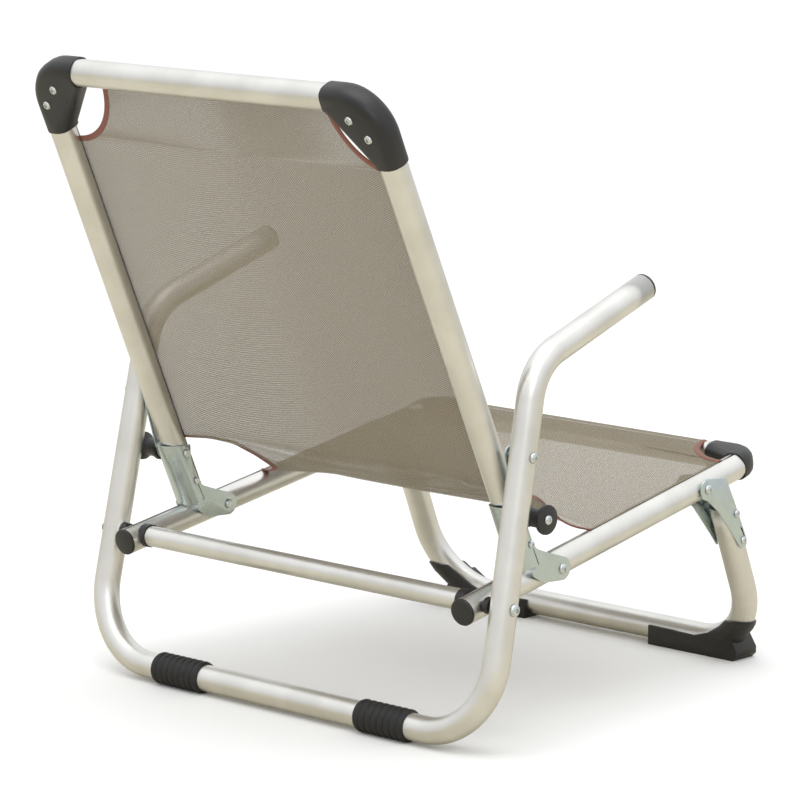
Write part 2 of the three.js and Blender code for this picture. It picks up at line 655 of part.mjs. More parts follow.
function sling() {
  const seatNormal = new THREE.Vector3(0, railDirection.y, railDirection.x);
  const backNormal = new THREE.Vector3(0, -stileDirection.y, -stileDirection.x);
  const seatStart = seatSurface(lumbarFront, seatOffset);
  const seatEnd = seatSurface(seatFrontBar, seatOffset);
  add('seat_sling', panel(
    seatStart, seatEnd, railX(lumbarFront), railX(seatFrontBar), 62, slingThickness, seatNormal,
  ), mesh);
  const backStart = backSurface(lumbarTopZ, backOffset);
  const backEnd = backSurface(topBar[1] - 10, backOffset);
  const inset = 10;
  add('back_sling', panel(
    backStart, backEnd, stileX(lumbarTopZ) - inset, stileX(topBar[1]) - inset, 76, slingThickness, backNormal,
  ), mesh);
  add('lumbar_sling', lumbar(seatStart, backStart), mesh);
}

// The free part of the sling bends from the back panel to the seat panel in one curve. It is a
// strip of even thickness along the middle line from one panel's edge to the other's.
function lumbar(seatStart, backStart) {
  const gap = 1;
  const half = slingThickness / 2;
  const seatEdge = new THREE.Vector2(
    seatStart[0] - gap * railDirection.x - half * railDirection.y,
    seatStart[1] - gap * railDirection.y + half * railDirection.x,
  );
  const backEdge = new THREE.Vector2(
    backStart[0] - gap * stileDirection.x + half * stileDirection.y,
    backStart[1] - gap * stileDirection.y - half * stileDirection.x,
  );
  const line = new THREE.CubicBezierCurve(
    seatEdge, seatEdge.clone().addScaledVector(railDirection, -48),
    backEdge.clone().addScaledVector(stileDirection, -26), backEdge,
  );
  const count = 8;
  const edge = (offset) => Array.from({ length: count + 1 }, (_, i) => {
    const spot = line.getPoint(i / count);
    const tangent = line.getTangent(i / count);
    return [spot.x - offset * tangent.y, spot.y + offset * tangent.x];
  });
  const outline = [...edge(half), ...edge(-half).reverse()];
  const halfWidth = 214;
  return sidePlate(outline, -halfWidth, halfWidth, 1);
}

seatFrame();
backrest();
rearLegs();
links();
frontLegs();
sling();

export default group;
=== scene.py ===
import json
import math
import bmesh
import bpy
import numpy as np
from mathutils import Matrix, Vector


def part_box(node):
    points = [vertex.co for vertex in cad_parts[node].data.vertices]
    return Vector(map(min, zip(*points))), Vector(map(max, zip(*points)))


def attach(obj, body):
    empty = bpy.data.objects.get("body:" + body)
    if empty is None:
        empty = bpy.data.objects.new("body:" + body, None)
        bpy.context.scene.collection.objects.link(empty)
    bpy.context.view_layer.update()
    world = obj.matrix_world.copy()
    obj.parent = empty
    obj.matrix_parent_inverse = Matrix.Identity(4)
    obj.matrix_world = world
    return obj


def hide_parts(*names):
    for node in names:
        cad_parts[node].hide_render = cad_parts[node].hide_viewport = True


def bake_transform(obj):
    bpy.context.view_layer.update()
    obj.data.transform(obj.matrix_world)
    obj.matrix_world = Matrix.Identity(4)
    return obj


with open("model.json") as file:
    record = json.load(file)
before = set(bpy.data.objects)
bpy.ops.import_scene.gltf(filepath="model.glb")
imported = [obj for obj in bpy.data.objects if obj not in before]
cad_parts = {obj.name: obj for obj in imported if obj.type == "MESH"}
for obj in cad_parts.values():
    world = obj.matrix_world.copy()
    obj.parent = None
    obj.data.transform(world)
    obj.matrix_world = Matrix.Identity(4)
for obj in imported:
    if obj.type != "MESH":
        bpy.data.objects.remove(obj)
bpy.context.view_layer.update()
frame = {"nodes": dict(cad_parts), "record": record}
nodes = frame["nodes"]
record = frame["record"]
joints = {joint["name"]: np.array(joint["pos_m"]) for joint in record["behaviour"]["joints"]}
sides = (("right", -1.0), ("left", 1.0))  # the sitter's right is -X


def low(node):
    return np.array(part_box(node)[0])


def high(node):
    return np.array(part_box(node)[1])


def middle(node):
    return (low(node) + high(node)) / 2


# Camera: behind the chair, on the sitter's right, a little above the arms
cameraPlace = {"azimuth": 222.6, "elevation": 10.3, "distance": 4.301, "lens": 184.5,
               "target": (0.0, 0.023, 0.303)}


def makeCamera(place):
    azimuth, elevation = math.radians(place["azimuth"]), math.radians(place["elevation"])
    back = Vector((math.sin(azimuth) * math.cos(elevation), -math.cos(azimuth) * math.cos(elevation),
                   math.sin(elevation)))
    camera = bpy.data.objects.new("camera", bpy.data.cameras.new("camera"))
    camera.data.lens = place["lens"]
    camera.data.sensor_width = 36
    camera.data.clip_end = 100
    camera.location = Vector(place["target"]) + back * place["distance"]
    camera.rotation_mode = "QUATERNION"
    camera.rotation_quaternion = (-back).to_track_quat("-Z", "Y")
    bpy.context.collection.objects.link(camera)
    bpy.context.scene.camera = camera


makeCamera(cameraPlace)


# Mesh making
def meshObject(name, points, faces, smooth=True):
    mesh = bpy.data.meshes.new(name)
    mesh.from_pydata(np.asarray(points).reshape(-1, 3).tolist(), [], faces)
    mesh.polygons.foreach_set("use_smooth", np.full(len(mesh.polygons), smooth))
    mesh.update()
    thing = bpy.data.objects.new(name, mesh)
    bpy.context.collection.objects.link(thing)
    return thing


# Closed pieces get all their faces turned outwards
def faceOutwards(thing):
    work = bmesh.new()
    work.from_mesh(thing.data)
    bmesh.ops.remove_doubles(work, verts=work.verts, dist=1e-6)
    bmesh.ops.recalc_face_normals(work, faces=work.faces)
    work.to_mesh(thing.data)
    work.free()
    return thing


# A surface on a grid of rows and columns. The columns close on themselves; the rows may close too,
# or the first and last row each get one flat face.
def tubeGrid(name, grid, closeRows=False, smooth=True):
    rows, columns = grid.shape[:2]
    number = np.arange(rows * columns).reshape(rows, columns)
    after = np.roll(number, -1, axis=1)
    if closeRows:
        ahead, aheadAfter = np.roll(number, -1, axis=0), np.roll(after, -1, axis=0)
        quads = np.stack([number, after, aheadAfter, ahead], axis=-1).reshape(-1, 4).tolist()
        return faceOutwards(meshObject(name, grid, quads, smooth))
    quads = np.stack([number[:-1], after[:-1], after[1:], number[1:]], axis=-1).reshape(-1, 4).tolist()
    ends = [number[0, ::-1].tolist(), number[-1].tolist()]
    return faceOutwards(meshObject(name, grid, quads + ends, smooth))


# Rings along a path: point = place + side * u + up * v, for each (u, v) of the section. The side
# and up directions are carried from ring to ring with the least turn.
def carriedRings(path, section, firstUp):
    path = np.asarray(path, float)
    tangents = np.gradient(path, axis=0)
    tangents /= np.linalg.norm(tangents, axis=1)[:, None]
    ups = np.empty_like(path)
    up = np.asarray(firstUp, float)
    for i, tangent in enumerate(tangents):
        up = up - tangent * (up @ tangent)
        up /= np.linalg.norm(up)
        ups[i] = up
    across = np.cross(ups, tangents)
    section = np.asarray(section, float)
    if section.ndim == 2:
        section = np.broadcast_to(section, (len(path),) + section.shape)
    return (path[:, None] + across[:, None] * section[..., 0:1] + ups[:, None] * section[..., 1:2])


def circle(radius, count=40):
    angle = np.linspace(0, 2 * math.pi, count, endpoint=False)
    return np.stack([np.cos(angle), np.sin(angle)], axis=1) * radius


# Straight runs joined by round bends, as one list of points; straight runs are split every `step`
def bentPath(corners, radii, perBend=22, step=0.02):
    corners = [np.asarray(corner, float) for corner in corners]
    pieces, start = [], corners[0]
    for before, corner, after, radius in zip(corners, corners[1:], corners[2:], radii):
        inward = (corner - before) / np.linalg.norm(corner - before)
        outward = (after - corner) / np.linalg.norm(after - corner)
        turn = math.acos(np.clip(inward @ outward, -1, 1))
        reach = radius * math.tan(turn / 2)
        enter = corner - inward * reach
        toCentre = outward - inward * (inward @ outward)
        toCentre /= np.linalg.norm(toCentre)
        angle = np.linspace(0, turn, perBend)[:, None]
        arc = enter + radius * (np.sin(angle) * inward + (1 - np.cos(angle)) * toCentre)
        pieces += [straightRun(start, enter, step)[:-1], arc[:-1]]
        start = arc[-1]
    pieces.append(straightRun(start, corners[-1], step))
    return np.concatenate(pieces)


def straightRun(start, end, step=0.02):
    count = max(2, int(np.linalg.norm(end - start) / step) + 1)
    return start + (end - start) * np.linspace(0, 1, count)[:, None]


# A turned piece: each (radius, distance) of the profile makes a ring about the axis
def turnedPiece(name, profile, place, axis, count=40, smooth=True):
    axis = np.asarray(axis, float) / np.linalg.norm(axis)
    helper = np.array([0.0, 0.0, 1.0]) if abs(axis[2]) < 0.9 else np.array([1.0, 0.0, 0.0])
    across = np.cross(axis, helper)
    across /= np.linalg.norm(across)
    up = np.cross(axis, across)
    angle = np.linspace(0, 2 * math.pi, count, endpoint=False)
    ring = np.cos(angle)[:, None] * across + np.sin(angle)[:, None] * up
    profile = np.asarray(profile, float)
    grid = np.asarray(place) + profile[:, None, 1:2] * axis + profile[:, None, 0:1] * ring
    return tubeGrid(name, grid, smooth=smooth)


def finishEdges(thing, width, segments=3, angle=30):
    bevel = thing.modifiers.new("edges", "BEVEL")
    bevel.width = width
    bevel.segments = segments
    bevel.limit_method = "ANGLE"
    bevel.angle_limit = math.radians(angle)
    bevel.harden_normals = False
    return thing


def sharpAt(thing, angle=35):
    thing.data.set_sharp_from_angle(angle=math.radians(angle))
    return thing


# Materials
def fromHex(code):
    parts = [int(code[i:i + 2], 16) / 255 for i in (1, 3, 5)]
    linear = [part / 12.92 if part <= 0.04045 else ((part + 0.055) / 1.055) ** 2.4 for part in parts]
    return (*linear, 1.0)


# Adds a node. A setting is one of the node's own properties or, if it has none of that name, the
# value of an input; links join inputs to sockets. Inputs go by name or number.
def addNode(tree, kind, settings=None, links=None):
    made = tree.nodes.new(kind)
    for key, value in (settings or {}).items():
        if isinstance(key, str) and hasattr(made, key):
            setattr(made, key, value)
        else:
            made.inputs[key].default_value = value
    for key, source in (links or {}).items():
        tree.links.new(source, made.inputs[key])
    return made


def newMaterial(name, settings):
    material = bpy.data.materials.new(name)
    material.use_nodes = True
    tree = material.node_tree
    shader = tree.nodes["Principled BSDF"]
    for key, value in settings.items():
        shader.inputs[key].default_value = value
    return material, tree, shader


def rampBetween(tree, source, stops):
    ramp = addNode(tree, "ShaderNodeValToRGB", links={"Fac": source})
    ramp.color_ramp.elements[0].position, ramp.color_ramp.elements[0].color = stops[0]
    ramp.color_ramp.elements[1].position, ramp.color_ramp.elements[1].color = stops[1]
    return ramp.outputs["Color"]


def bumpFrom(tree, shader, height, strength, distance):
    bump = addNode(tree, "ShaderNodeBump", {"Strength": strength, "Distance": distance}, {"Height": height})
    tree.links.new(bump.outputs["Normal"], shader.inputs["Normal"])


# Drawn aluminium tube, satin anodised: a soft even sheen with faint lengthwise die lines
def anodisedAluminium(name="anodisedAluminium", stretch=(1, 1, 1)):
    material, tree, shader = newMaterial(name, {"Metallic": 1.0, "Roughness": 0.34})
    coords = addNode(tree, "ShaderNodeTexCoord").outputs["Object"]
    cloud = addNode(tree, "ShaderNodeTexNoise", {"Scale": 24.0, "Detail": 3.0}, {"Vector": coords})
    colour = rampBetween(tree, cloud.outputs["Fac"], [(0.35, fromHex("#DEDDD8")), (0.65, fromHex("#E8E7E3"))])
    tree.links.new(colour, shader.inputs["Base Color"])
    grain = addNode(tree, "ShaderNodeTexNoise", {"Scale": 900.0, "Detail": 2.0}, {"Vector": coords})
    rough = addNode(tree, "ShaderNodeMapRange", {"To Min": 0.29, "To Max": 0.4},
                    {"Value": grain.outputs["Fac"]})
    tree.links.new(rough.outputs["Result"], shader.inputs["Roughness"])
    bumpFrom(tree, shader, grain.outputs["Fac"], 0.06, 0.0003)
    return material


# Zinc-plated pressed steel, blue passivated: bright with a cool, slightly mottled bloom
def zincPlatedSteel():
    material, tree, shader = newMaterial("zincPlatedSteel", {"Metallic": 1.0, "Roughness": 0.28})
    coords = addNode(tree, "ShaderNodeTexCoord").outputs["Object"]
    bloom = addNode(tree, "ShaderNodeTexNoise", {"Scale": 60.0, "Detail": 5.0, "Roughness": 0.6},
                    {"Vector": coords})
    colour = rampBetween(tree, bloom.outputs["Fac"], [(0.3, fromHex("#C3CFD0")), (0.7, fromHex("#CDD8D8"))])
    tree.links.new(colour, shader.inputs["Base Color"])
    rough = addNode(tree, "ShaderNodeMapRange", {"To Min": 0.2, "To Max": 0.38},
                    {"Value": bloom.outputs["Fac"]})
    tree.links.new(rough.outputs["Result"], shader.inputs["Roughness"])
    bumpFrom(tree, shader, bloom.outputs["Fac"], 0.04, 0.0003)
    return material


# Zinc-plated screws and rivets: brighter than the sheet, with a fine turned look
def platedFastener():
    material, tree, shader = newMaterial("platedFastener", {"Metallic": 1.0, "Roughness": 0.22})
    coords = addNode(tree, "ShaderNodeTexCoord").outputs["Object"]
    mottle = addNode(tree, "ShaderNodeTexNoise", {"Scale": 400.0, "Detail": 2.0}, {"Vector": coords})
    colour = rampBetween(tree, mottle.outputs["Fac"], [(0.3, fromHex("#BFC7C8")), (0.7, fromHex("#E2E6E6"))])
    tree.links.new(colour, shader.inputs["Base Color"])
    return material


# Injection-moulded nylon, spark-eroded mould: dark grey satin with a fine even grain
def mouldedNylon():
    material, tree, shader = newMaterial("mouldedNylon", {"Roughness": 0.38, "IOR": 1.53})
    coords = addNode(tree, "ShaderNodeTexCoord").outputs["Object"]
    cloud = addNode(tree, "ShaderNodeTexNoise", {"Scale": 30.0, "Detail": 4.0}, {"Vector": coords})
    colour = rampBetween(tree, cloud.outputs["Fac"], [(0.3, fromHex("#161615")), (0.7, fromHex("#1F1F1E"))])
    tree.links.new(colour, shader.inputs["Base Color"])
    grain = addNode(tree, "ShaderNodeTexNoise", {"Scale": 1300.0, "Detail": 1.0}, {"Vector": coords})
    rough = addNode(tree, "ShaderNodeMapRange", {"To Min": 0.32, "To Max": 0.46},
                    {"Value": cloud.outputs["Fac"]})
    tree.links.new(rough.outputs["Result"], shader.inputs["Roughness"])
    bumpFrom(tree, shader, grain.outputs["Fac"], 0.25, 0.0004)
    return material


# Moulded rubber: darker and duller than the nylon, slightly dusty
def mouldedRubber():
    material, tree, shader = newMaterial("mouldedRubber", {"Roughness": 0.6, "IOR": 1.52})
    coords = addNode(tree, "ShaderNodeTexCoord").outputs["Object"]
    dust = addNode(tree, "ShaderNodeTexNoise", {"Scale": 90.0, "Detail": 5.0}, {"Vector": coords})
    colour = rampBetween(tree, dust.outputs["Fac"], [(0.35, fromHex("#131312")), (0.75, fromHex("#1D1C1B"))])
    tree.links.new(colour, shader.inputs["Base Color"])
    bumpFrom(tree, shader, dust.outputs["Fac"], 0.2, 0.0004)
    return material


# Sling fabric: PVC-coated polyester yarns woven open, so light and dark shapes show through the holes.
# The yarn colour is darkened to a painted shade in the dips between the yarns. The UV map counts millimetres.
# Yarns are 1.1 mm apart on the real cloth; they are drawn at 2.2 mm so that the rows of holes still show.
weave = {"pitch": 2.2, "yarn": "#A79C86", "paintedShade": "#73674F", "openest": 0.05, "closest": 0.92}


def wovenMesh():
    material, tree, shader = newMaterial("wovenMesh", {"Roughness": 0.6, "IOR": 1.5})
    uv = addNode(tree, "ShaderNodeUVMap", {"uv_map": "cloth"}).outputs["UV"]
    split = addNode(tree, "ShaderNodeSeparateXYZ", links={"Vector": uv})
    waves = []
    for direction in ("X", "Y"):
        angle = addNode(tree, "ShaderNodeMath", {"operation": "MULTIPLY", 1: 2 * math.pi / weave["pitch"]},
                        {0: split.outputs[direction]})
        wave = addNode(tree, "ShaderNodeMath", {"operation": "COSINE"}, {0: angle.outputs[0]})
        waves.append(wave.outputs[0])
    lifted = addNode(tree, "ShaderNodeMath", {"operation": "ADD"}, {0: waves[0], 1: waves[1]}).outputs[0]
    # Painted shade: the colour goes from the yarn colour to a darker shade where both waves are low, in the
    # dips between the yarns
    yarnAndPaintedShade = rampBetween(tree, lifted, [(0.0, fromHex(weave["paintedShade"])), (1.0, fromHex(weave["yarn"]))])
    tree.links.new(yarnAndPaintedShade, shader.inputs["Base Color"])
    solid = addNode(tree, "ShaderNodeMapRange", {
        "From Min": -1.2, "From Max": 0.3, "To Min": weave["openest"], "To Max": weave["closest"],
    }, {"Value": lifted})
    tree.links.new(solid.outputs["Result"], shader.inputs["Alpha"])
    bumpFrom(tree, shader, lifted, 0.3, 0.0004)
    return material


# Binding tape: woven polypropylene, warm brown, folded over the cut edge and sewn down
def bindingTape():
    material, tree, shader = newMaterial("bindingTape", {"Roughness": 0.75, "IOR": 1.5, "Sheen Weight": 0.25})
    coords = addNode(tree, "ShaderNodeTexCoord").outputs["Object"]
    rib = addNode(tree, "ShaderNodeTexWave", {"Scale": 160.0, "Distortion": 1.5}, {"Vector": coords})
    colour = rampBetween(tree, rib.outputs["Fac"], [(0.2, fromHex("#6A3A28")), (0.8, fromHex("#8A5038"))])
    tree.links.new(colour, shader.inputs["Base Color"])
    bumpFrom(tree, shader, rib.outputs["Fac"], 0.4, 0.0004)
    return material


finishes = {
    "aluminium": anodisedAluminium(), "zinc": zincPlatedSteel(), "steel": platedFastener(),
    "plastic": mouldedNylon(), "rubber": mouldedRubber(), "mesh": wovenMesh(),
    "binding": bindingTape(),
}


def dress(thing, finish, body=None, replaced=()):
    thing.data.materials.clear()
    thing.data.materials.append(finishes[finish])
    if body:
        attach(thing, body)
    if replaced:
        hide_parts(*replaced)
    return thing


slotFinish = {row["node"]: row["material_slot"] for row in record["subparts"]}
for nodeName, nodeObject in nodes.items():
    nodeObject.data.materials.clear()
    nodeObject.data.materials.append(finishes[slotFinish[nodeName]])
print("materials made")

# Frame measures, in metres, from the CAD's own boxes and joints
tubeRadius = 0.014
legPivot, linkPivot = joints["rear_leg_fold"], joints["link_turn"]
floorBarHeight = (high("floor_sleeve_left")[2] + low("floor_sleeve_left")[2]) / 2


# Where a straight sloping tube's axis ends, from its box: the section's own reach is taken off
def slopedEnds(node, sign):
    lo, hi = low(node), high(node)
    run, rise = hi[1] - lo[1], hi[2] - lo[2]
    slope = math.atan2(rise - 2 * tubeRadius, run)
    for _ in range(6):
        slope = math.atan2(rise - 2 * tubeRadius * math.cos(slope), run - 2 * tubeRadius * math.sin(slope))
    inY, inZ = tubeRadius * math.sin(slope), tubeRadius * math.cos(slope)
    outer, inner = (abs(lo[0]), abs(hi[0])) if sign < 0 else (abs(hi[0]), abs(lo[0]))
    yEnds = (hi[1] - inY, lo[1] + inY)
    zLow, zHigh = lo[2] + inZ, hi[2] - inZ
    return outer - tubeRadius, inner + tubeRadius, yEnds, (zLow, zHigh)


def railEnds(sign, side):
    wide, narrow, (rearY, frontY), (rearZ, frontZ) = slopedEnds(f"seat_rail_{side}", sign)
    return np.array([sign * wide, rearY, rearZ]), np.array([sign * narrow, frontY, frontZ])


def stileEnds(sign, side):
    wide, narrow, (topY, footY), (footZ, topZ) = slopedEnds(f"back_stile_{side}", sign)
    return np.array([sign * wide, footY, footZ]), np.array([sign * narrow, topY, topZ])


# Round section with a narrow slot for the sling's edge cord, at the section's +v side
def grooveSection(count=44, slotWidth=0.0032, slotDepth=0.0045):
    lip = math.asin(slotWidth / 2 / tubeRadius)
    angle = np.linspace(math.pi / 2 + lip, math.pi / 2 - lip + 2 * math.pi, count)
    ring = np.stack([np.cos(angle), np.sin(angle)], axis=1) * tubeRadius
    half, depth = slotWidth / 2, tubeRadius - slotDepth
    wide, raised = half * 1.5, depth + 0.001
    floor = np.array([[wide, raised], [half, depth], [-half, depth], [-wide, raised]])
    return np.concatenate([ring, floor])


# Bent and straight tubes
def straightTube(name, start, end, section, up):
    return sharpAt(tubeGrid(name, carriedRings(np.array([start, end]), section, up)), 40)


stileUps = {}
for side, sign in sides:
    rear, front = railEnds(sign, side)
    rail = straightTube(f"rail{side.title()}", rear, front, grooveSection(), (0, 0, 1))
    dress(rail, "aluminium", "seat_frame", [f"seat_rail_{side}"])
    foot, top = stileEnds(sign, side)
    stileUps[side] = np.array([-sign * 1.0, -math.cos(0.42), -math.sin(0.42)])
    stile = straightTube(f"stile{side.title()}", foot, top, grooveSection(), stileUps[side])
    dress(stile, "aluminium", "backrest", [f"back_stile_{side}"])

for name, node, body, radius in (
    ("topTube", "back_top_tube", "backrest", tubeRadius),
    ("frontTube", "seat_front_tube", "seat_frame", tubeRadius),
    ("crossbar", "rear_crossbar", "seat_frame", high("rear_crossbar")[1] - middle("rear_crossbar")[1]),
):
    centre, reach = middle(node), high(node)[0]
    ends = np.array([[-reach, centre[1], centre[2]], [reach, centre[1], centre[2]]])
    tube = straightTube(name, ends[0], ends[1], circle(radius, 48), (0, 0, 1))
    dress(tube, "aluminium", body, [node])

# The rear legs and armrests are one long tube
legTube = {"armBendRadius": 0.060, "floorBendRadius": 0.080, "bendHeight": 0.385}
legSlope = (linkPivot[1] - legPivot[1]) / (linkPivot[2] - legPivot[2])
taper = 0.026
legHalfWidth = 0.280


def legAt(sign, z):
    across = legHalfWidth - taper * (z - floorBarHeight)
    return np.array([sign * across, legPivot[1] + legSlope * (z - legPivot[2]), z])


def rearLegPath():
    halves = []
    for sign in (-1.0, 1.0):
        plug = middle("arm_plug_left")
        bend = legAt(sign, legTube["bendHeight"])
        arm = np.array([sign * plug[0], plug[1], plug[2]])
        direction = (arm - bend) / np.linalg.norm(arm - bend)
        halves.append([arm - direction * 0.001, bend, legAt(sign, floorBarHeight)])
    corners = halves[0] + halves[1][::-1]
    radii = [legTube["armBendRadius"], legTube["floorBendRadius"]]
    return bentPath(corners, radii + radii[::-1], step=0.03)


rearTube = tubeGrid("rearLegTube", carriedRings(rearLegPath(), circle(tubeRadius, 44), (1, 0, 0)))
dress(rearTube, "aluminium", "rear_legs", ["rear_leg_tube"])

frontTubeShape = {"bendRadius": 0.078, "barReach": 0.473}


def frontLegPath():
    barY = legPivot[1] - frontTubeShape["barReach"]
    plugZ = middle("leg_top_plug_left")[2]
    across = middle("leg_top_plug_left")[0]
    topY = middle("leg_top_plug_left")[1]
    corners = [[-across, topY, plugZ], [-across, barY, floorBarHeight],
               [across, barY, floorBarHeight], [across, topY, plugZ]]
    return bentPath(corners, [frontTubeShape["bendRadius"]] * 2, step=0.03)


frontTube = tubeGrid("frontLegTube", carriedRings(frontLegPath(), circle(tubeRadius, 44), (1, 0, 0)))
dress(frontTube, "aluminium", "front_legs", ["front_leg_tube"])
print("tubes made")

# Smooth copies of the CAD's small pieces. The copy is merged, gets soft narrow edges and keeps
# the CAD's place; curved sides are shaded smooth.
edgeWidths = {"plastic": 0.0008, "zinc": 0.0004}


def smoothCopy(node, finish, body):
    thing = bpy.data.objects.new(f"{node}Smooth", nodes[node].data.copy())
    thing.matrix_world = nodes[node].matrix_world
    bpy.context.collection.objects.link(thing)
    thing.data.transform(thing.matrix_world)
    thing.matrix_world = Matrix.Identity(4)
    faceOutwards(thing)
    thing.data.polygons.foreach_set("use_smooth", np.full(len(thing.data.polygons), True))
    sharpAt(thing, 42)
    finishEdges(thing, edgeWidths[finish], 2, 50)
    return dress(thing, finish, body, [node])


bodyOf = {node: body for body, members in record["behaviour"]["bodies"].items() for node in members}
moulded = ("back_corner", "seat_corner", "foot_shoe", "crossbar_saddle", "leg_spacer", "leg_top_plug")
pressed = ("hinge_bracket", "front_plate_outer", "front_plate_inner", "link")
for side, sign in sides:
    for finish, family in (("plastic", moulded), ("zinc", pressed)):
        for kind in family:
            node = f"{kind}_{side}"
            smoothCopy(node, finish, bodyOf[node])


# Screws and rivets that lie along X: a flat inner head, a shank and a domed outer head with a
# round recess. The profile is worked out from the CAD piece's box.
def crossBolt(node, sign):
    lo, hi = low(node), high(node)
    radius, length = (hi[2] - lo[2]) / 2, hi[0] - lo[0]
    dome, shank = radius * 0.5, radius * 0.55
    profile = [
        (0, 0), (0.7 * radius, 0), (0.9 * radius, dome * 0.3), (0.92 * radius, dome * 0.75),
        (shank, dome * 0.8),
        (shank, length - dome), (radius, length - dome), (0.97 * radius, length - 0.75 * dome),
        (0.85 * radius, length - 0.4 * dome), (0.6 * radius, length - 0.12 * dome), (0.34 * radius, length),
        (0.28 * radius, length - 0.5 * dome), (0, length - 0.5 * dome),
    ]
    place = np.array([sign * min(abs(lo[0]), abs(hi[0])), middle(node)[1], middle(node)[2]])
    head = sharpAt(turnedPiece(f"{node}Turned", profile, place, (sign, 0, 0), 32), 30)
    dress(head, "steel", bodyOf[node], [node])


for side, sign in sides:
    for kind in ("leg_pivot_bolt", "hinge_bolt", "bracket_rivet", "spool_screw", "link_bolt",
                 "front_pivot_bolt", "front_rivet_upper", "front_rivet_lower"):
        crossBolt(f"{kind}_{side}", sign)

# Pan heads on the back of the top corners, square to the backrest
backLean = 0.449
rearward = np.array([0, 1, -backLean]) / math.hypot(1, backLean)
for side, sign in sides:
    for kind in ("upper", "lower"):
        node = f"corner_screw_{kind}_{side}"
        radius, tall = 0.0046, 0.0028
        profile = [(0, 0), (radius, 0), (radius, tall * 0.35), (radius * 0.85, tall * 0.72),
                   (radius * 0.55, tall * 0.95),
                   (radius * 0.36, tall), (radius * 0.3, tall * 0.4), (0, tall * 0.4)]
        screw = turnedPiece(f"{node}Turned", profile, middle(node) - rearward * tall / 2, rearward, 32)
        dress(sharpAt(screw, 30), "steel", "backrest", [node])

# End caps of the rails and armrests: a plain disc with a rounded rim
capShape = {"depth": 0.0033, "rim": 0.0012}


def endCap(node, outward, place, body):
    depth, rim = capShape["depth"], capShape["rim"]
    profile = [(0, 0), (tubeRadius, 0), (tubeRadius, depth - rim), (tubeRadius - rim * 0.3, depth - rim * 0.3),
               (tubeRadius - rim, depth), (0, depth)]
    cap = turnedPiece(f"{node}Turned", profile, place, outward, 44)
    dress(sharpAt(cap, 50), "plastic", body, [node])


for side, sign in sides:
    rear, front = railEnds(sign, side)
    outward = (rear - front) / np.linalg.norm(rear - front)
    endCap(f"rail_plug_{side}", outward, rear, "seat_frame")
    tip, second = rearLegPath()[:2]
    mirror = np.array([-sign, 1, 1])  # the path starts at the right armrest
    outward = (tip - second) / np.linalg.norm(tip - second) * mirror
    endCap(f"arm_plug_{side}", outward, tip * mirror, "rear_legs")

# Spools: two flanges with a waist between them, turned about the spool screw
spoolShape = {"rim": 0.004, "waist": 0.0095}
for side, sign in sides:
    node = f"spool_{side}"
    lo, hi = low(node), high(node)
    flange, length = (hi[2] - lo[2]) / 2, hi[0] - lo[0]
    rim, waist = spoolShape["rim"], spoolShape["waist"]
    bore = 0.0036
    profile = [
        (bore, 0), (flange - 0.004, 0), (flange - 0.0035, rim * 0.9), (waist + 0.001, rim + 0.003),
        (waist, rim + 0.005),
        (waist, length - rim - 0.004), (flange - 0.002, length - rim - 0.001), (flange - 0.0004, length - rim),
        (flange, length - rim * 0.6), (flange - 0.0004, length - 0.0006), (flange - 0.0012, length),
        (bore, length),
    ]
    place = np.array([sign * min(abs(lo[0]), abs(hi[0])), middle(node)[1], middle(node)[2]])
    spool = sharpAt(turnedPiece(f"{node}Turned", profile, place, (sign, 0, 0), 44), 40)
    dress(spool, "plastic", "backrest", [node])

# Rubber sleeves: rounded ribs along the floor bar
sleeveShape = {"ribs": 8, "ribDepth": 0.0022, "perRib": 12}
for side, sign in sides:
    node = f"floor_sleeve_{side}"
    lo, hi = low(node), high(node)
    rib, length = (hi[2] - lo[2]) / 2, hi[0] - lo[0]
    count = sleeveShape["ribs"] * sleeveShape["perRib"] + 1
    share = np.linspace(0, 1, count)
    wave = np.abs(np.sin(share * math.pi * sleeveShape["ribs"])) ** 0.6
    radii = rib - sleeveShape["ribDepth"] * (1 - wave)
    profile = [(tubeRadius + 0.0001, 0), *zip(radii, share * length), (tubeRadius + 0.0001, length)]
    place = np.array([sign * min(abs(lo[0]), abs(hi[0])), middle(node)[1], middle(node)[2]])
    sleeve = turnedPiece(f"{node}Turned", profile, place, (sign, 0, 0), 44)
    dress(sleeve, "rubber", "rear_legs", [node])
print("fittings made")

# The sling is one cloth from the seat's front tube to the back's top tube. Each row runs from the
# middle line to both side edges: point = (t w, middle + (edge - middle) |t|^bend), where t goes from
# -1 to 1. Lengths are in metres, measured from the rear leg pivot forward and from the floor up.
sling = {
    "thickness": 0.0008, "bend": 2.4, "columns": 61, "backAhead": 0.0105, "seatAbove": 0.0138,
    "backStart": (0.249, 0.262), "seatStart": (0.184, 0.235),
    "topCut": (0.066, 0.070), "frontCut": (0.058, 0.048),
    "freeEdge": ((0.226, 0.060, 0.249), (0.222, 0.090, 0.243), (0.216, 0.120, 0.234), (0.208, 0.148, 0.217),
                 (0.203, 0.172, 0.200), (0.215, 0.178, 0.194)),
}
railSlope = 0.1748
railZero = 0.1461
topBarPlace = middle("back_top_tube")


def backLine(height):
    run = 1 / math.hypot(1, backLean)
    y = topBarPlace[1] + backLean * (height - topBarPlace[2]) - sling["backAhead"] * run
    return np.stack([y, height + 0 * y], axis=-1)


def seatLine(forward):
    run = 1 / math.hypot(1, railSlope)
    height = railZero + railSlope * forward + sling["seatAbove"] / run
    return np.stack([legPivot[1] - forward, height], axis=-1)


def bezier(start, pullStart, pullEnd, end, share):
    share = share[:, None]
    rest = 1 - share
    nearStart = rest ** 3 * start + 3 * rest ** 2 * share * pullStart
    return nearStart + 3 * rest * share ** 2 * pullEnd + share ** 3 * end


def throughPoints(points, share):
    points = np.asarray(points)
    steps = np.concatenate([[0], np.cumsum(np.linalg.norm(np.diff(points, axis=0), axis=1))])
    known = steps / steps[-1]
    return np.stack([np.interp(share, known, values) for values in points.T], axis=1)


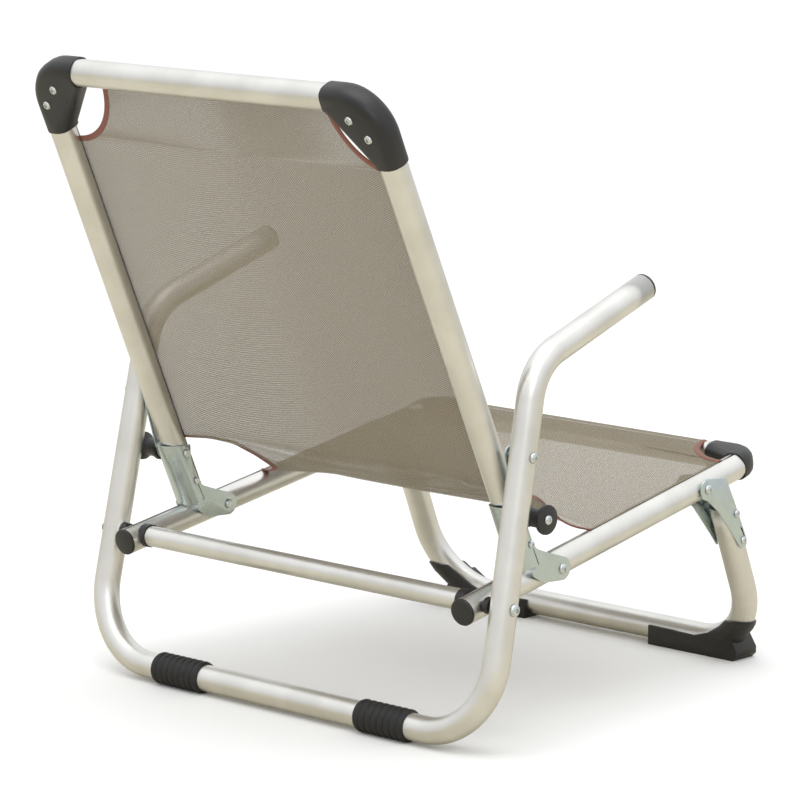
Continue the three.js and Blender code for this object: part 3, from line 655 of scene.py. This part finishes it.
def stileWidth(height):
    foot, top = stileEnds(1.0, "left")
    return foot[0] + (top[0] - foot[0]) * (height - foot[2]) / (top[2] - foot[2]) - 0.0093


def railWidth(forward):
    rear, front = railEnds(1.0, "left")
    return rear[0] + (front[0] - rear[0]) * (legPivot[1] - forward - rear[1]) / (front[1] - rear[1])


# Rows of the cloth, as middle (y, z) and edge (x, y, z)
def slingRows():
    edgeFoot, middleFoot = sling["backStart"]
    cutAcross, cutDown = sling["topCut"]
    topHeight = topBarPlace[2] - 0.004
    quarter = np.linspace(math.pi / 2, 0, 26)
    cutHeight = topHeight - cutDown * np.sin(quarter)
    plain = np.linspace(edgeFoot, topHeight - cutDown, 30)[:-1]
    edgeHeight = np.concatenate([plain, cutHeight])
    inset = np.concatenate([0 * plain, cutAcross * np.cos(quarter)])
    share = (edgeHeight - edgeFoot) / (topHeight - edgeFoot)
    backEdge = backLine(edgeHeight)
    backMiddle = backLine(middleFoot + (topHeight - middleFoot) * share)
    back = (backMiddle, np.column_stack([stileWidth(edgeHeight) - inset, backEdge]))
    edgeRear, middleRear = sling["seatStart"]
    cutAcross, cutBack = sling["frontCut"]
    frontEnd = legPivot[1] - middle("seat_front_tube")[1]
    cutForward = frontEnd - cutBack * np.sin(quarter)
    plain = np.linspace(edgeRear, frontEnd - cutBack, 24)[:-1]
    edgeForward = np.concatenate([plain, cutForward])
    inset = np.concatenate([0 * plain, cutAcross * np.cos(quarter)])
    share = (edgeForward - edgeRear) / (frontEnd - edgeRear)
    seatEdge = seatLine(edgeForward)
    seatMiddle = seatLine(middleRear + (frontEnd - middleRear) * share)
    seat = (seatMiddle, np.column_stack([railWidth(edgeForward) - inset, seatEdge]))
    share = np.linspace(0, 1, 42)[1:-1]
    backEnd, seatEnd = backMiddle[0], seatMiddle[0]
    downBack = backEnd + np.array([-backLean, -1]) / math.hypot(1, backLean) * 0.030
    alongSeat = seatEnd + np.array([1, -railSlope]) / math.hypot(1, railSlope) * 0.055
    free = np.array([(x, legPivot[1] - forward, z) for x, forward, z in sling["freeEdge"]])
    freeEdge = throughPoints(np.vstack([back[1][0], free[1:], seat[1][0]]), share)
    for _ in range(3):
        freeEdge[1:-1] = (freeEdge[:-2] + 2 * freeEdge[1:-1] + freeEdge[2:]) / 4
    lumbar = (bezier(backEnd, downBack, alongSeat, seatEnd, share), freeEdge)
    middles = np.concatenate([seat[0][::-1], lumbar[0][::-1], back[0]])
    edges = np.concatenate([seat[1][::-1], lumbar[1][::-1], back[1]])
    return middles, edges, len(seat[0]), len(share)


middles, edges, seatRows, lumbarRows = slingRows()


def slingSurface(across):
    weight = np.abs(across)[None, :, None] ** sling["bend"]
    sideways = edges[:, None, 0:1] * across[None, :, None]
    rise = middles[:, None] + (edges[:, None, 1:] - middles[:, None]) * weight
    return np.concatenate([sideways, rise], axis=2)


def openGrid(name, grid):
    rows, columns = grid.shape[:2]
    number = np.arange(rows * columns).reshape(rows, columns)
    quads = np.stack([number[:-1, :-1], number[:-1, 1:], number[1:, 1:], number[1:, :-1]], axis=-1)
    return meshObject(name, grid, quads.reshape(-1, 4).tolist())


def makeSling():
    grid = slingSurface(np.linspace(-1, 1, sling["columns"]))
    cloth = openGrid("sling", grid)
    steps = np.linalg.norm(np.diff(grid, axis=0), axis=2)
    along = np.concatenate([np.zeros((1, grid.shape[1])), np.cumsum(steps, axis=0)])
    flat = np.stack([grid[..., 0], along], axis=2).reshape(-1, 2) * 1000
    corners = np.empty(len(cloth.data.loops), int)
    cloth.data.loops.foreach_get("vertex_index", corners)
    cloth.data.uv_layers.new(name="cloth").data.foreach_set("uv", flat[corners].ravel())
    thick = cloth.modifiers.new("thickness", "SOLIDIFY")
    thick.thickness = sling["thickness"]
    thick.offset = 0
    quad = grid[1:, 1:] - grid[:-1, :-1], grid[1:, :-1] - grid[:-1, 1:]
    area = float(np.linalg.norm(np.cross(*quad), axis=2).sum() / 2)
    return cloth, (float(2 * edges[:, 0].max()), float(along[:, sling["columns"] // 2].max())), area


# The binding tape follows each free edge of the cloth as a flat folded band
tape = {"halfWidth": 0.0034, "halfThickness": 0.0011}


def bindingBand(name, first, last, sign):
    path = edges[first:last] * (sign, 1, 1)
    path = throughPoints(path, np.linspace(0, 1, 48))
    inward = middles[first:last].mean(axis=0) - edges[first:last, 1:].mean(axis=0)
    normal = np.cross(path[-1] - path[0], (1.0, 0, 0))
    if name.startswith("lumbar"):
        normal = np.array([0, 0.45, 1.0])
    if abs(inward).max() < 0.004:
        normal = np.cross((1.0, 0, 0), np.array([0, *(middles[last - 1] - middles[first])]))
    section = circle(1.0, 16) * (tape["halfWidth"], tape["halfThickness"])
    return tubeGrid(f"{name}{'Left' if sign > 0 else 'Right'}", carriedRings(path, section, normal))


cloth, flatSize, clothArea = makeSling()
cutRows = 26
lumbarFirst, backFirst = seatRows, seatRows + lumbarRows
for side, sign in sides:
    dress(bindingBand("seatBinding", 0, cutRows, sign), "binding", "seat_frame")
    band = bindingBand("backBinding", len(edges) - cutRows, len(edges), sign)
    dress(band, "binding", "backrest")
    band = dress(bindingBand("lumbarBinding", lumbarFirst - 1, backFirst + 1, sign), "binding", None)
    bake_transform(band)
dress(cloth, "mesh", None, ["seat_sling", "back_sling", "lumbar_sling"])
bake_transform(cloth)
print("sling made", [round(size, 4) for size in flatSize], round(clothArea, 4))

# Floor, sky and lights. The floor is near white to the camera, but glossy rays see a darker beige: a painted
# reflection that shades the undersides of the shiny parts.
studio = {"floor": "#FAFAF8", "paintedFloorReflection": "#CFC9B6", "zenith": 1.3, "horizon": 0.75}


def studioFloor():
    reach = 30
    corners = [[-reach, -reach, 0], [reach, -reach, 0], [reach, reach, 0], [-reach, reach, 0]]
    floor = meshObject("floor", corners, [[0, 1, 2, 3]], False)
    material, tree, shader = newMaterial("paintedFloor", {"Roughness": 0.9, "Specular IOR Level": 0.1})
    # Painted reflection: glossy rays get the darker beige, so the tubes' undersides look shaded
    ray = addNode(tree, "ShaderNodeLightPath").outputs["Is Glossy Ray"]
    colour = rampBetween(tree, ray, [(0.0, fromHex(studio["floor"])), (1.0, fromHex(studio["paintedFloorReflection"]))])
    tree.links.new(colour, shader.inputs["Base Color"])
    floor.data.materials.append(material)


def softLight(name, place, target, size, power, colour="#FFFFFF"):
    light = bpy.data.lights.new(name, "AREA")
    light.shape = "RECTANGLE"
    light.size, light.size_y = size
    light.energy = power
    light.color = fromHex(colour)[:3]
    lamp = bpy.data.objects.new(name, light)
    lamp.location = place
    lamp.rotation_mode = "QUATERNION"
    lamp.rotation_quaternion = (Vector(target) - Vector(place)).to_track_quat("-Z", "Y")
    bpy.context.collection.objects.link(lamp)


# The sky is brighter overhead than at the horizon
def studioSky():
    world = bpy.data.worlds.new("studioSky")
    world.use_nodes = True
    tree = world.node_tree
    direction = addNode(tree, "ShaderNodeTexCoord").outputs["Generated"]
    split = addNode(tree, "ShaderNodeSeparateXYZ", links={"Vector": direction})
    strength = addNode(tree, "ShaderNodeMapRange", {"To Min": studio["horizon"], "To Max": studio["zenith"]},
                       {"Value": split.outputs["Z"]})
    tree.links.new(strength.outputs["Result"], tree.nodes["Background"].inputs["Strength"])
    tree.nodes["Background"].inputs["Color"].default_value = fromHex("#FCFDFF")
    bpy.context.scene.world = world


studioFloor()
softLight("topLight", (-0.3, 0.6, 3.0), (0, 0, 0.2), (2.4, 2.4), 24.0)
softLight("keyLight", (-2.6, 2.4, 2.2), (0, 0, 0.35), (1.6, 1.6), 11.0)
studioSky()
bpy.context.scene.view_settings.view_transform = "Standard"
print("studio made")
